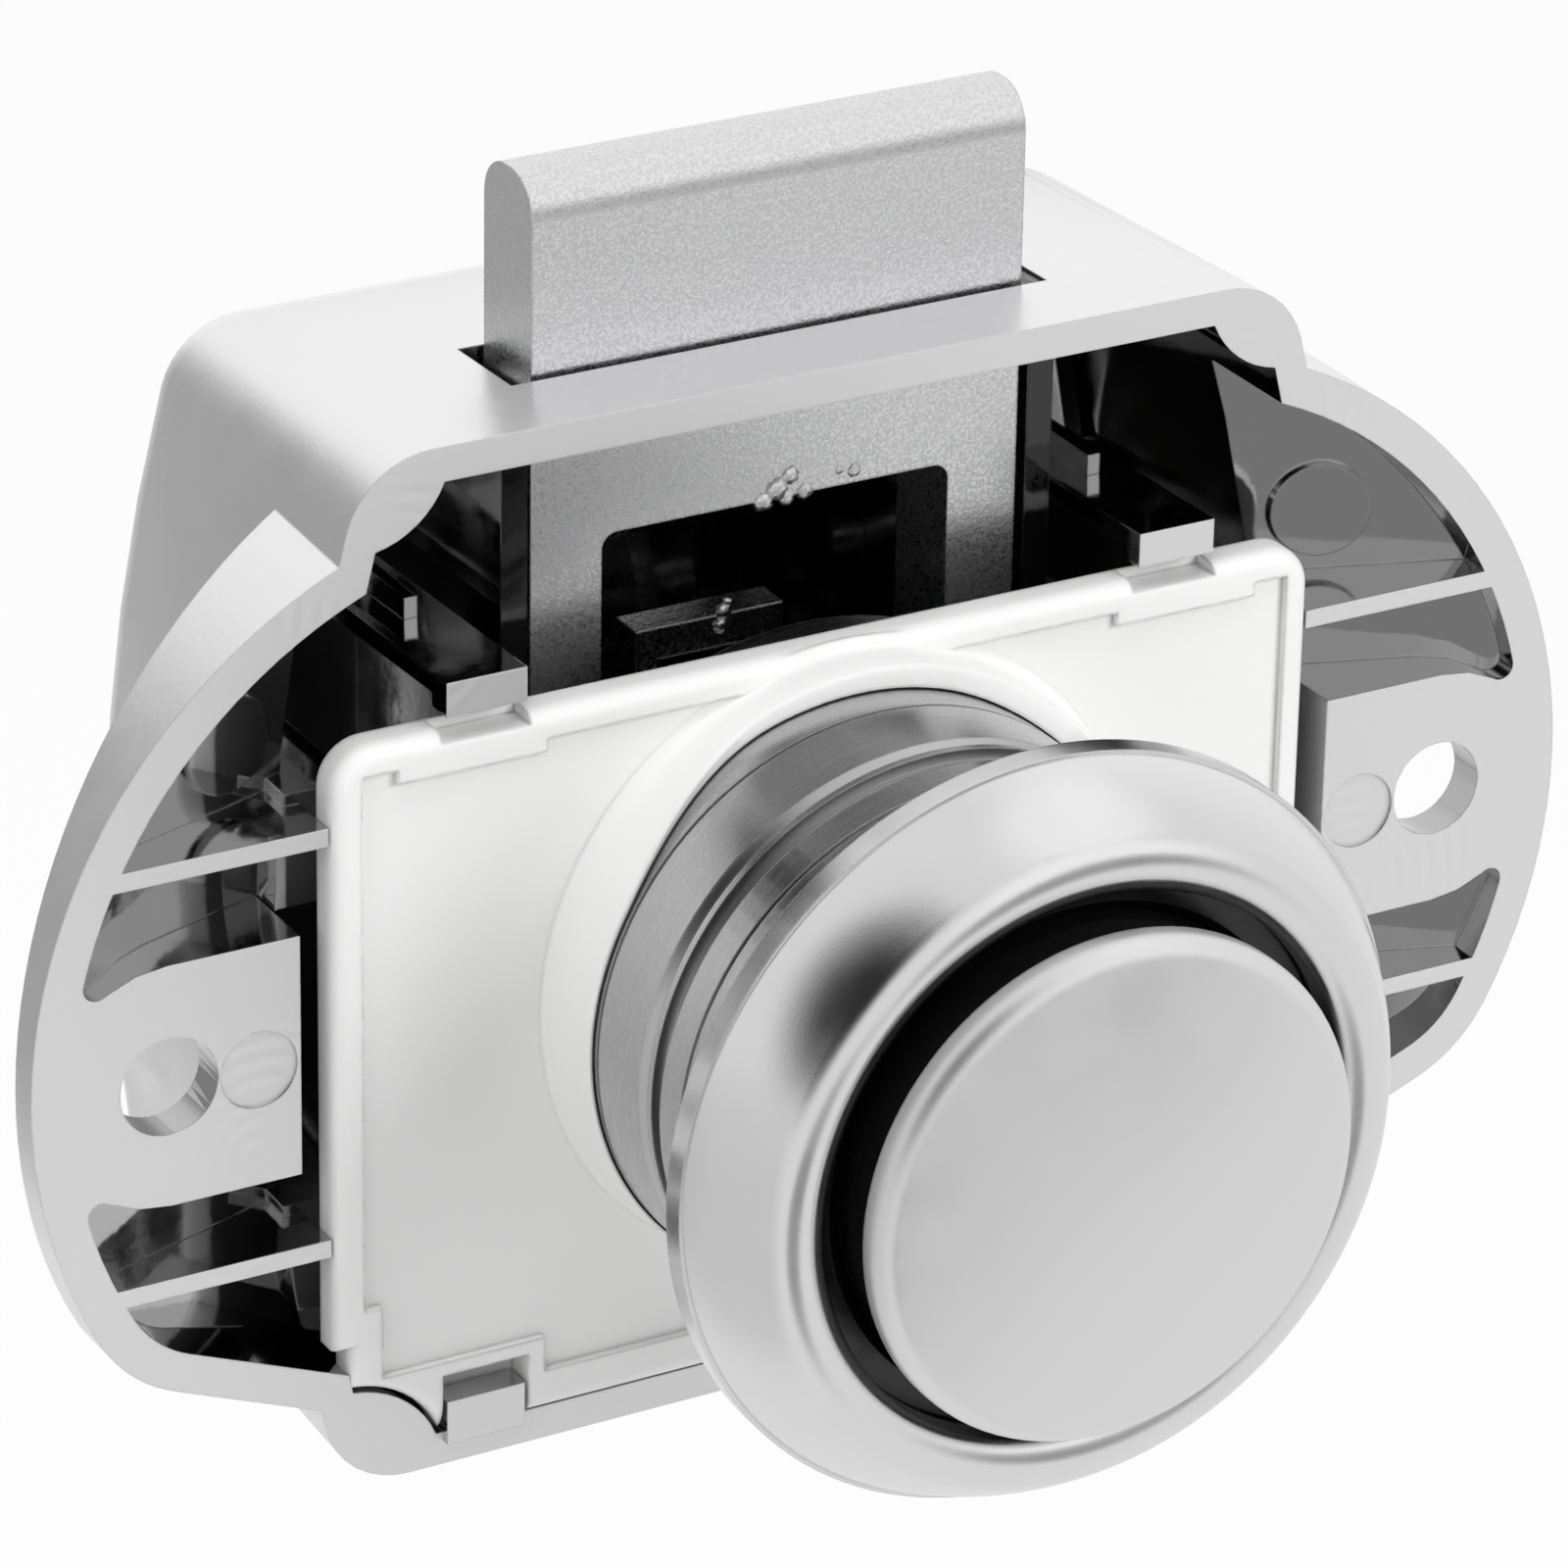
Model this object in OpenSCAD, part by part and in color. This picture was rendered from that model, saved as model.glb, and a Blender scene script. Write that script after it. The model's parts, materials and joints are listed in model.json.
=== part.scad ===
// Pushbutton cabinet latch: cast casing with two screw ears, a bolt that leaves through
// the top, and a button on a threaded sleeve that passes through the door.
// Frame: X to the right seen from the button, Y into the cabinet, Z the way the bolt
// leaves. The origin lies on the button's axis in the plane where the casing meets
// the door's inner face, so everything with y below zero is in or before the door.

/* [Casing] */
// Distance between the two screw holes
screw_spacing = 60; // [58:0.5:64]
// Height of the screw holes above the button axis
screw_z = 1.2; // [0.5:0.1:2]
// Diameter of the screw holes
screw_hole_d = 4.3; // [3.5:0.1:4.8]
// Diameter of the recess behind each ear for the screw's head
head_room_d = 8; // [7:0.1:8.6]
// Thickness of the lug under the screw's head
lug_th = 1.8; // [1.4:0.1:2.2]
// Height of the lug that carries the screw hole
lug_h = 10.7; // [10:0.1:11.4]
// Top of the casing above the button axis, at the front rim
case_top = 26.4; // [26:0.1:28]
// Bottom of the casing below the button axis, at the front rim
case_drop = 19.3; // [19:0.1:21]
// Widest half width of the box, at the front rim
case_half_w = 25.1; // [24.8:0.1:25.6]
// Radius of the bowed side walls
case_side_r = 82; // [76:1:95]
// Depth of the box behind the door
case_depth = 19.2; // [19:0.1:21]
// Wall thickness of the box
case_wall = 1.5; // [1.2:0.1:1.7]
// Radius of the box's long corners
case_corner_r = 3.9; // [3:0.1:5]
// Radius of the edge round the back wall
back_edge_r = 2; // [1.6:0.1:2.6]
// Draft of the top wall in degrees
top_draft = 2; // [1.5:0.25:3]
// Draft of the side walls in degrees
side_draft = 1.75; // [1.25:0.25:2.5]
// Draft of the bottom wall in degrees
bottom_draft = 2; // [1.5:0.25:3.5]

/* [Ears] */
// Reach of each ear from the middle
ear_reach = 36; // [35.6:0.1:37]
// Radius of the ear's outer edge
ear_r = 22.9; // [22.6:0.1:23.4]
// Radius of the ear's lower corner
ear_low_r = 6.5; // [6:0.1:7]
// Slope of the ear's foot in degrees
ear_foot_a = 22; // [18:1:26]
// Direction from the ear's middle to its lower corner, in degrees below level
ear_low_a = 28.7; // [27:0.1:30]
// Width of the rim round the ear
ear_rim = 1.7; // [1.4:0.1:1.9]
// Depth of the ear at its tip
ear_tip_depth = 1.5; // [1.4:0.1:1.8]
// Rise of the ear's back face per millimetre towards the box
ear_rise = 0.333; // [0.3:0.005:0.36]
// Thickness of the slanted floor of the ear
ear_floor = 1.3; // [1:0.05:1.35]
// Thickness of the two ribs in each ear
ear_rib = 0.8; // [0.6:0.05:1.1]
// Height of the upper rib
rib_high = 10.6; // [10:0.1:11.4]
// Depth of the lower rib below the axis
rib_low = 7.9; // [7.2:0.1:8.5]

/* [Cover plate] */
// Width of the cover plate
plate_w = 45.4; // [44.8:0.1:45.8]
// Top of the cover plate above the axis
plate_top = 15.2; // [14.9:0.1:15.4]
// Bottom of the cover plate's wide part below the axis
plate_step = 12.8; // [12.4:0.1:13]
// Thickness of the cover plate
plate_th = 3; // [2.8:0.05:3.1]
// How far the plate's front stands out of the casing's rim
plate_proud = 0.4; // [0.2:0.05:0.6]
// Radius of the plate's upper corners
plate_corner_r = 1.9; // [1:0.1:3]
// Radius along the plate's front edges
plate_edge_r = 0.9; // [0.5:0.1:1.1]
// Outer diameter of the collar round the sleeve, where it leaves the plate
collar_d = 31.6; // [31:0.2:32.4]
// Height of the collar over the plate
collar_h = 3.1; // [2.4:0.1:3.2]
// Width of the collar's flat lip round the sleeve
collar_lip = 1.5; // [1.2:0.05:1.8]
// Depth of the panel that lies back inside the plate's border
panel_depth = 0.35; // [0.2:0.05:0.5]
// Width of the plate's border at its sides
border_w = 1.4; // [1.2:0.1:1.8]

/* [Snap hooks] */
// Distance between the middles of the two upper hooks
hook_spacing = 32.1; // [31.6:0.1:32.8]
// Width of each hook
hook_w = 3.6; // [3:0.1:4]
// Thickness of the hook's arm
hook_arm = 0.9; // [0.7:0.05:1]
// How far a hook's nose reaches over the plate
hook_nose = 0.6; // [0.4:0.05:0.8]
// Length of the hook's nose along the arm
hook_nose_l = 1.3; // [1:0.05:1.4]
// Thickness of the fin that stiffens the arm
fin_th = 0.6; // [0.4:0.05:0.9]
// Height of the fin
fin_h = 2.6; // [2.2:0.1:3]

/* [Bolt] */
// Width of the bolt
bolt_w = 22.7; // [22:0.1:23.2]
// Thickness of the bolt
bolt_th = 4.1; // [3.7:0.05:4.2]
// Distance from the door's inner face to the bolt
bolt_setback = 4.9; // [4.7:0.05:5]
// How far the bolt stands out above the casing's rim height
bolt_out = 8.2; // [7.6:0.1:9]
// Reach of the bolt below the axis
bolt_drop = 8.4; // [8:0.1:8.6]
// Width of the window in the bolt
window_w = 16.2; // [15.6:0.1:16.8]
// Top of the window above the axis
window_top = 18.8; // [18.6:0.1:19.4]
// Bottom of the window below the axis
window_drop = 4.4; // [4.4:0.1:4.8]
// Radius along both edges of the bolt's end
bolt_nose_r = 1.8; // [1.2:0.1:1.9]
// Play of the bolt at each side of its slot in the top wall
slot_end_gap = 1.05; // [0.6:0.05:1.3]

/* [Drive] */
// How far the button comes out when it is let go
button_travel = 8.5; // [8:0.1:8.5]
// How far the bolt draws back with it
bolt_travel = 8.1; // [7.8:0.1:8.1]
// How far the button can be pressed past its rest to free the latch
over_press = 0.6; // [0.4:0.05:0.6]
// Diameter of the drive pin across the bolt's window
pin_d = 2; // [1.8:0.05:2]
// Height of the drive pin above the axis, bolt out
pin_z = 4; // [3.8:0.05:4.1]
// Width of the driver
driver_w = 7; // [6.6:0.1:7.2]
// Thickness of the driver's cheeks
cheek = 1; // [0.8:0.05:1.2]
// Top of the driver's bridge above the axis
bridge_top = 11.3; // [11:0.1:11.4]
// Distance from the door's inner face to the bridge
bridge_y = 10.4; // [10.3:0.05:10.6]
// Thickness of the bridge, front to back
bridge_th = 1.7; // [1.4:0.05:1.8]
// Diameter of the track follower's wire
wire_d = 0.8; // [0.6:0.05:0.9]

/* [Sleeve and rosette] */
// Outer diameter of the sleeve, for the hole in the door
sleeve_d = 25.6; // [25.3:0.05:25.8]
// Wall thickness of the sleeve
sleeve_wall = 1.5; // [1.4:0.05:1.5]
// Diameter of the sleeve's flange behind the plate
flange_d = 28.4; // [28:0.1:28.6]
// Thickness of the flange
flange_th = 1.4; // [1.2:0.05:1.5]
// Distance from the door's inner face to the start of the thread
thread_start = 8.3; // [8.1:0.1:9.5]
// Depth of the thread
thread_depth = 0.5; // [0.3:0.05:0.6]
// Thickness of the door that the rosette is set to
door_th = 16; // [15.5:0.1:16.6]
// Outer diameter of the rosette
rosette_d = 32.6; // [32.2:0.1:33.4]
// Height of the rosette's straight rim
rosette_rim = 1.1; // [0.9:0.05:1.3]
// Height of the rosette over the door
ring_h = 5.2; // [5:0.05:5.4]
// Diameter of the rosette's crest
crest_d = 26; // [25.8:0.1:26.6]
// Radius of the crest in section
crest_r = 1.6; // [1.5:0.05:1.8]
// Radius of the flank that runs from the crest to the rim
flank_r = 12; // [10:0.5:16]
// Diameter of the rosette's mouth
mouth_d = 23.8; // [23.6:0.1:24.2]
// How far the rosette can be screwed outwards
rosette_travel = 2.5; // [2:0.1:2.8]

/* [Button] */
// Diameter of the button
button_d = 21.9; // [21.6:0.1:22.2]
// Distance from the door's inner face to the top of the button's dome
button_front = 24.6; // [24.4:0.1:25.4]
// Radius of the dome
dome_r = 50; // [44:1:60]
// Radius of the button's front edge
button_edge_r = 1; // [0.7:0.05:1.2]
// Height of the button's straight side
button_side = 0.5; // [0.3:0.05:0.8]
// Thickness of the button's shell
shell = 0.8; // [0.7:0.05:0.9]
// Diameter of the return spring's wire
spring_wire = 1; // [0.8:0.05:1.1]
// Turns of the return spring
spring_turns = 6; // [4:1:8]

/* [Fits] */
// Clearance round parts that move past one another
run_gap = 0.3; // [0.25:0.01:0.35]
// Radial clearance of pins and sliding bores
fit_gap = 0.05; // [0.03:0.01:0.08]

/* [Hidden] */
$fn = 96;
eps = 0.01;

ear_x = ear_reach - ear_r;
lug_inner_x = plate_w / 2 + 1.5;
case_inner_back = case_depth - case_wall;
plate_back = plate_th - plate_proud;
bolt_back = bolt_setback + bolt_th;
bolt_mid = bolt_setback + bolt_th / 2;
guide_x = bolt_w / 2 + run_gap;
guide_th = 1.2;
bolt_top = case_top + bolt_out;
arm_z = plate_top + run_gap;
ratio = bolt_travel / button_travel;
sleeve_front = door_th + rosette_travel + 0.2;
sleeve_bore_r = sleeve_d / 2 - sleeve_wall;
lip_back = plate_back - flange_th + 0.4;
lip_front = lip_back - 1.2;
liner_wall = 0.75;
liner_bore_r = sleeve_bore_r - fit_gap - liner_wall;
plunger_r = liner_bore_r - fit_gap * 1.6;
edge_y = button_front - dome_r + sqrt(pow(dome_r - button_edge_r, 2) - pow(button_d / 2 - button_edge_r, 2));
cap_back = edge_y - button_side;
cap_seat = button_front - shell - 1.2;
stem_r = 3.4;
spigot_r = 2.4;
socket_front = -2;
socket_back = 4.4;
seat_x = 20.4;
mark_r = 1.7;
mark_x = lug_inner_x + mark_r + 0.15;

// A flat shape drawn in x and z, made solid from y0 back to y1
module along_y(y0, y1) translate([0, y1, 0]) rotate([90, 0, 0]) linear_extrude(y1 - y0) children();

// A half profile drawn as radius and distance before the door, turned round the button axis
module turned() rotate([90, 0, 0]) rotate_extrude() children();

// A flat shape drawn in y and z, made solid between x0 and x1
module along_x(x0, x1) translate([x0, 0, 0]) rotate([90, 0, 90]) linear_extrude(x1 - x0) children();

module both_sides() { children(); mirror([1, 0, 0]) children(); }

// Right half of the box's section at depth y, moved in by inset, from the top to the bottom:
// a corner, the bowed side and a corner, each arc running into the next
function half_section(y, inset) = let (
    top = case_top - y * tan(top_draft) - inset,
    low = -case_drop + y * tan(bottom_draft) + inset,
    half = case_half_w - y * tan(side_draft) - inset,
    r = max(case_corner_r - inset, 1),
    side_r = case_side_r - r,
    high_a = asin((top - r - screw_z) / side_r),
    low_a = asin((screw_z - low - r) / side_r),
    mid_x = half - case_side_r,
    high = [mid_x + side_r * cos(high_a), top - r],
    base = [mid_x + side_r * cos(low_a), low + r],
    steps = 8)
    concat(
        [for (i = [0 : steps]) let (a = 90 - (90 - high_a) * i / steps) high + r * [cos(a), sin(a)]],
        [for (i = [1 : steps - 1]) let (a = high_a - (high_a + low_a) * i / steps)
            [mid_x, screw_z] + case_side_r * [cos(a), sin(a)]],
        [for (i = [0 : steps]) let (a = -low_a - (90 - low_a) * i / steps) base + r * [cos(a), sin(a)]]);
function box_section(y, inset) = let (right = half_section(y, inset), n = len(right))
    concat(right, [for (i = [n - 1 : -1 : 0]) [-right[i].x, right[i].y]]);

// Skin through sections that all have as many points, each given with its depth
module loft(sections) {
    n = len(sections[0][1]);
    last = (len(sections) - 1) * n;
    polyhedron([for (s = sections) for (p = s[1]) [p.x, s[0], p.y]], concat(
        [[for (k = [0 : n - 1]) k]],
        [for (i = [0 : len(sections) - 2]) for (k = [0 : n - 1]) let (a = i * n + k, b = i * n + (k + 1) % n)
            each [[a, a + n, b + n], [a, b + n, b]]],
        [[for (k = [n - 1 : -1 : 0]) last + k]]), convexity = 4);
}

// The drafted box, rounded round its back wall
module box_solid(y0, depth, inset, edge) loft(concat([[y0, box_section(y0, inset)]],
    [for (a = [0 : 30 : 90]) let (y = depth - edge * (1 - sin(a)))
        [y, box_section(y, inset + edge * (1 - cos(a)))]]));

// Points along an arc
function arc(centre, r, from, to, steps) =
    [for (i = [0 : steps]) let (a = from + (to - from) * i / steps) centre + r * [cos(a), sin(a)]];

// Outline of one ear, moved in by inset: a wide arc, a tighter one below it, and a straight foot
module ear_outline(inset) {
    low = [ear_x + (ear_r - ear_low_r) * cos(ear_low_a), screw_z - (ear_r - ear_low_r) * sin(ear_low_a)];
    foot_from = low + (ear_low_r - inset) * [sin(ear_foot_a), -cos(ear_foot_a)];
    run = foot_from.x - ear_x - 4;
    foot = foot_from - run * [1, tan(ear_foot_a)];
    polygon(concat(
        arc([ear_x, screw_z], ear_r - inset, 80, -ear_low_a, 36),
        arc(low, ear_low_r - inset, -ear_low_a - 5, ear_foot_a - 90, 8),
        [foot]));
}

// Space before a slanted plane through the ear, so shapes cut with it end at that plane
module before_slant(depth, over = 0) along_z(-40 - over, 40 + over) polygon([
    [-over, -1 - over], [-over, depth + ear_rise * (ear_reach + over)],
    [ear_reach + 4 + over, depth - ear_rise * (4 + over)], [ear_reach + 4 + over, -1 - over]]);
module along_z(z0, z1) translate([0, 0, z0]) linear_extrude(z1 - z0) children();

// Lug with its end round the screw hole
module lug_outline(inset) {
    r = lug_h / 2 - inset;
    translate([screw_spacing / 2, screw_z]) circle(r);
    translate([lug_inner_x + inset, screw_z - r]) square([screw_spacing / 2 - lug_inner_x - inset, 2 * r]);
    translate([screw_spacing / 2, screw_z - r / 2]) square([ear_reach - ear_rim - screw_spacing / 2, r]);
}

// Swellings inside the rim where the box's corners meet the ears
module corner_swell() {
    translate([21.5, case_top + 0.1]) circle(4.1);
    translate([22.5, -case_drop - 0.2]) circle(4.65);
}

module ear_body() intersection() {
    along_y(0, 12) ear_outline(0);
    before_slant(ear_tip_depth);
}

module ear_pocket() intersection() {
    along_y(-1, 12) offset(r = 0.6, $fn = 24) offset(delta = -0.6) difference() {
        ear_outline(ear_rim);
        lug_outline(0);
        corner_swell();
    }
    before_slant(ear_tip_depth - ear_floor);
}

// Ribs across the ear, from the plate to the rim
module ear_ribs() intersection() {
    for (z = [rib_high, -rib_low]) translate([plate_w / 2 + 0.2, 0, z - ear_rib / 2]) cube([12, 8, ear_rib]);
    before_slant(ear_tip_depth - ear_floor / 2);
    along_y(0, 12) ear_outline(ear_rim / 2);
}

// Round bosses left on the ear's floor
module floor_mark() intersection() {
    translate([25.6, 12, 13.8]) rotate([90, 0, 0]) cylinder(r = 2.1, h = 12.5);
    difference() {
        before_slant(ear_tip_depth - ear_floor / 2);
        before_slant(ear_tip_depth - ear_floor - 0.35, 2);
    }
}

// Room behind the lug for the head of the screw
module head_room() {
    translate([screw_spacing / 2, 0, screw_z]) rotate([-90, 0, 0]) {
        translate([0, 0, -1]) cylinder(d = screw_hole_d, h = 10);
        translate([0, 0, lug_th]) cylinder(d = head_room_d, h = 12);
    }
    along_z(screw_z - head_room_d / 2, screw_z + head_room_d / 2) polygon([
        [case_half_w - lug_th * tan(side_draft), lug_th], [screw_spacing / 2, lug_th], [screw_spacing / 2, 14],
        [case_half_w - 14 * tan(side_draft), 14]]);
}

// Arm with its nose over the plate's edge, and the fin that stiffens it
module snap_hook() translate([hook_spacing / 2, 0, 0]) {
    along_x(-hook_w / 2, hook_w / 2) polygon([
        [-plate_proud, arm_z - hook_nose], [-plate_proud, arm_z + hook_arm],
        [case_inner_back + 0.2, arm_z + hook_arm - 0.6], [case_inner_back + 0.2, arm_z - 0.6],
        [hook_nose_l - plate_proud, arm_z], [hook_nose_l - plate_proud, arm_z - hook_nose]]);
    along_x(-fin_th / 2, fin_th / 2) polygon([
        [6.3, arm_z - 1], [6.3, arm_z - 1 + fin_h], [case_inner_back + 0.2, arm_z - 1 + fin_h],
        [case_inner_back + 0.2, arm_z - 2]]);
}

// Catch on the bottom wall for the plate's lower edge
module low_catch() translate([hook_spacing / 2 - hook_w / 2, -plate_proud, -case_drop + case_wall - 0.4])
    cube([hook_w, hook_nose_l, 2]);

// Channel that guides one edge of the bolt, with the tab that holds the sleeve's flange
module bolt_guide() {
    translate([guide_x, bolt_setback - run_gap, -40]) cube([guide_th, 40, 80]);
    translate([guide_x, plate_back, -4]) cube([guide_th, 6, 8]);
    translate([guide_x - 2.2, bolt_back + run_gap, -40]) cube([2.2 + eps, 40, 23.5]);
    translate([guide_x - 2.2, bolt_back + run_gap, 15]) cube([2.2 + eps, 40, 20]);
}

// Ledges that the cover plate rests on
module plate_ledge() for (z = [-12, 6.5]) translate([seat_x, plate_back, z]) cube([8, 40, 5]);

// Boss that holds the follower's fixed end, right of the bolt's window
module follower_boss() difference() {
    translate([guide_x - 2.9, follower_y + wire_d, -13.4])
        cube([2.9 + eps, case_inner_back + 0.3 - follower_y - wire_d, 3.6]);
    translate([follower_x, 0, follower_low]) rotate([-90, 0, 0]) cylinder(d = wire_d + 2 * fit_gap, h = case_depth - 3);
}

module casing() color("silver") {
    difference() {
        union() {
            box_solid(0, case_depth, 0, back_edge_r);
            both_sides() ear_body();
        }
        difference() {
            union() {
                box_solid(-1, case_inner_back, case_wall, back_edge_r - 0.6);
                both_sides() ear_pocket();
            }
            both_sides() along_y(-2, 6) corner_swell();
        }
        both_sides() {
            head_room();
            translate([mark_x, 0.12, screw_z - 0.2]) rotate([90, 0, 0]) cylinder(r = mark_r, h = 2);
        }
        translate([-bolt_w / 2 - slot_end_gap, bolt_setback - run_gap, case_top - 8])
            cube([bolt_w + 2 * slot_end_gap, bolt_th + 2 * run_gap, 12]);
    }
    both_sides() {
        ear_ribs();
        floor_mark();
        snap_hook();
        low_catch();
    }
    intersection() {
        both_sides() {
            bolt_guide();
            plate_ledge();
        }
        box_solid(0, case_depth - eps, case_wall / 2, back_edge_r);
    }
    follower_boss();
}

// Outline of the cover plate moved in by inset: wide above, with a step in each side below
// and hollow corners where the casing's own corners swell
function plate_half(inset) = let (
    right = plate_w / 2,
    swell = [22.5, -case_drop - 0.2],
    r = 4.65 + run_gap + inset,
    foot_x = right - 0.7 - inset,
    low = -case_drop + case_wall + run_gap + inset)
    concat(
        arc([right - plate_corner_r, plate_top - plate_corner_r], plate_corner_r - inset, 90, 0, 6),
        [[right - inset, -plate_step + inset], [foot_x, -plate_step + inset]],
        arc(swell, r, acos((foot_x - swell.x) / r), 180 - asin((low - swell.y) / r), 8));
function plate_section(inset) = let (half = plate_half(inset), n = len(half))
    concat(half, [for (i = [n - 1 : -1 : 0]) [-half[i].x, half[i].y]]);

module plate_body() loft(concat(
    [for (a = [90 : -22.5 : 0])
        [plate_edge_r * (1 - sin(a)) - plate_proud, plate_section(plate_edge_r * (1 - cos(a)))]],
    [[plate_back, plate_section(0)]]));

// Panel that lies back inside the border, which steps in round the hooks' notches
module plate_panel() {
    side = plate_w / 2 - border_w;
    step_x = (hook_spacing + hook_w) / 2;
    step_in = (hook_spacing - hook_w) / 2 - 1;
    top = plate_top - 2.1;
    low = -case_drop + case_wall + run_gap + 2;
    half = [[0, top], [step_in, top], [step_in, top - 1.2], [step_x + 2, top - 1.2], [step_x + 2, top],
        [side, top], [side, -plate_step + 1.8], [side - 0.8, -plate_step + 1.8], [side - 0.8, low + 1.6],
        [step_in, low + 1.6], [step_in, low], [0, low]];
    n = len(half);
    along_y(-plate_proud - 1, panel_depth - plate_proud)
        polygon(concat(half, [for (i = [n - 2 : -1 : 1]) [-half[i].x, half[i].y]]));
}

// Collar with a hollow flank, cut level with the plate's flat face
module plate_collar() intersection() {
    turned() polygon(concat(
        [[sleeve_d / 2 - 1, plate_proud - 1], [collar_d / 2 + 0.3, plate_proud - 1], [collar_d / 2 + 0.3, plate_proud]],
        [for (a = [270 : -15 : 180]) [collar_d / 2, plate_proud + collar_h]
            + [((collar_d - sleeve_d) / 2 - collar_lip) * cos(a), collar_h * sin(a)]],
        [[sleeve_d / 2 - 1, plate_proud + collar_h]]));
    along_y(-10, 5) polygon(plate_section(plate_edge_r + 0.05));
}

module cover_plate() color("white") difference() {
    union() {
        difference() {
            plate_body();
            plate_panel();
        }
        plate_collar();
        both_sides() for (z = [-16, 8.6]) translate([guide_x - 2.6, plate_back - 0.6, z])
            cube([2, bolt_setback - run_gap - plate_back + 0.6, z < 0 ? 4 : 5.4]);
    }
    turned() {
        translate([0, -20]) square([sleeve_d / 2 + fit_gap, 40]);
        translate([0, -20]) square([flange_d / 2 + 0.2, 20 - plate_back + flange_th]);
    }
    both_sides() {
        hook_notch(arm_z - hook_nose - run_gap, 10);
        hook_notch(-case_drop - 1, case_wall + 3);
    }
}

// Notch in the plate's edge that leaves room for a hook
module hook_notch(z0, h) translate([(hook_spacing - hook_w) / 2 - run_gap, -plate_proud - 1, z0])
    cube([hook_w + 2 * run_gap, hook_nose_l + run_gap + 1, h]);

// Sleeve with its inner lip, that the spring rests on, and the flange behind the plate
module sleeve() color("silver") turned() {
    r = sleeve_d / 2;
    difference() {
        union() {
            translate([sleeve_bore_r, -lip_back]) square([sleeve_wall, sleeve_front + lip_back]);
            translate([8, -lip_back]) square([r - 8, lip_back - lip_front]);
            translate([r - 0.6, -plate_back]) square([flange_d / 2 - r + 0.6, flange_th]);
        }
        translate([r - 0.15, 3.7]) square([1, 0.16]);
        translate([r, 7.6]) rotate(45) square(0.5, center = true);
        translate([r - thread_depth, thread_start]) square([1, door_th - 0.7 - thread_start]);
    }
}

// Black bush inside the sleeve, with a lip over its front end
module liner() color([0.08, 0.08, 0.08]) turned() difference() {
    union() {
        translate([liner_bore_r, 2]) square([liner_wall, sleeve_front - 2]);
        translate([liner_bore_r, sleeve_front]) square([sleeve_d / 2 - 0.9 - liner_bore_r, 0.6]);
    }
    translate([liner_bore_r, sleeve_front + 0.6]) rotate(45) square(0.5, center = true);
}

// Rosette: a straight rim on the door, and a ring whose flank runs into its crest.
// The flank's circle holds the crest's from inside and passes through the rim's edge.
module rosette() color("silver") turned() {
    crest = [crest_d / 2, door_th + ring_h - crest_r];
    rim = [rosette_d / 2 - 0.15, door_th + rosette_rim];
    reach = norm(rim - crest);
    arm = flank_r - crest_r;
    turn = acos((reach * reach + arm * arm - flank_r * flank_r) / (2 * reach * arm));
    way = atan2(rim.y - crest.y, rim.x - crest.x) - turn;
    flank = crest + arm * [cos(way), sin(way)];
    out = (crest - flank) / arm;
    difference() {
        union() {
            translate([sleeve_d / 2 + fit_gap, door_th]) square([rosette_d / 2 - sleeve_d / 2 - fit_gap, rosette_rim]);
            translate(crest) circle(crest_r);
            intersection() {
                translate(flank) circle(flank_r, $fn = 360);
                polygon([[mouth_d / 2 - 1, door_th + 0.2], crest - [crest_r, 0.2], crest, crest + crest_r * out * 1.5,
                    rim + [3, 3], rim, [rim.x, door_th + 0.2]]);
            }
        }
        translate([0, door_th - 5]) square([sleeve_d / 2 + fit_gap, sleeve_front + 0.9 - door_th + 5]);
        square([mouth_d / 2, 40]);
    }
}

// Button: a shallow cap whose domed front runs into its rounded edge
module button_cap() color("silver") turned() {
    edge = [button_d / 2 - button_edge_r, edge_y];
    out = (edge - [0, button_front - dome_r]) / (dome_r - button_edge_r);
    difference() {
        union() {
            translate([0, cap_back]) square([button_d / 2, edge_y - cap_back]);
            translate(edge) circle(button_edge_r);
            intersection() {
                translate([0, button_front - dome_r]) circle(dome_r, $fn = 720);
                polygon([[0, cap_back], [edge.x, cap_back], edge, edge + 1.5 * button_edge_r * out,
                    [0, button_front + 1]]);
            }
        }
        translate([0, cap_back - 5]) square([button_d, 5]);
        square([button_d / 2 - shell, cap_seat]);
    }
}

// Plunger: guided cup under the button, with the stem that carries the driver
module plunger() color([0.1, 0.1, 0.1]) difference() {
    turned() {
        difference() {
            union() {
                translate([0, 9]) square([plunger_r, cap_back - 0.1 - 9]);
                translate([0, cap_back - 1]) square([button_d / 2 - shell - fit_gap, cap_seat - cap_back + 1]);
            }
            translate([stem_r, 0]) square([plunger_r - 1 - stem_r, cap_back - 1.6]);
        }
        translate([0, -socket_front + 0.2]) square([stem_r, 12]);
        translate([0, -socket_back + 0.2]) square([spigot_r, 10]);
    }
    stem_pin_hole(0);
}
module stem_pin_hole(gap) translate([-10, 1, 0]) rotate([0, 90, 0]) cylinder(r = 0.8 + gap, h = 20);

module stem_pin() color("gray") translate([-driver_w / 2 + 0.1, 1, 0]) rotate([0, 90, 0]) cylinder(r = 0.8, h = driver_w - 0.2);

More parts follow.
